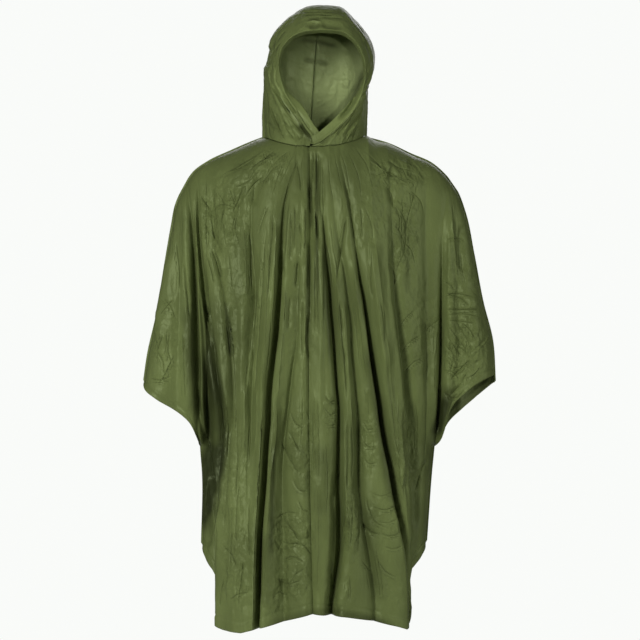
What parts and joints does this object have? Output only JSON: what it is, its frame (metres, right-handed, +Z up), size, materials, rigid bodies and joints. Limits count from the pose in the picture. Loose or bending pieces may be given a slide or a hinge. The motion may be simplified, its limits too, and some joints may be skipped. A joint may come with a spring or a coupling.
{
  "type": "rain poncho",
  "caption": "Hooded rain poncho in thin vinyl film, hanging hollow as worn, with short wide sleeves, a lapped centre front seam and a turned-in face opening.",
  "frame": {"origin": "middle of the neck base, where the wearer's shoulders carry the garment", "axes": "+Z up along the body, -Y out of the front, +X to the viewer's right of the front"},
  "size_m": [0.7405, 0.3184, 1.2875],
  "materials": {
    "front_left_vinyl": "satin, slightly translucent vinyl film",
    "front_right_vinyl": "satin, slightly translucent vinyl film",
    "back_vinyl": "satin, slightly translucent vinyl film",
    "hood_vinyl": "satin, slightly translucent vinyl film",
    "hood_hem_vinyl": "satin, slightly translucent vinyl film"
  },
  "bodies": {
    "root": {"front_left": "front_left_vinyl", "front_right": "front_right_vinyl", "back": "back_vinyl", "hood": "hood_vinyl", "hood_hem": "hood_hem_vinyl"}
  },
  "joints": []
}
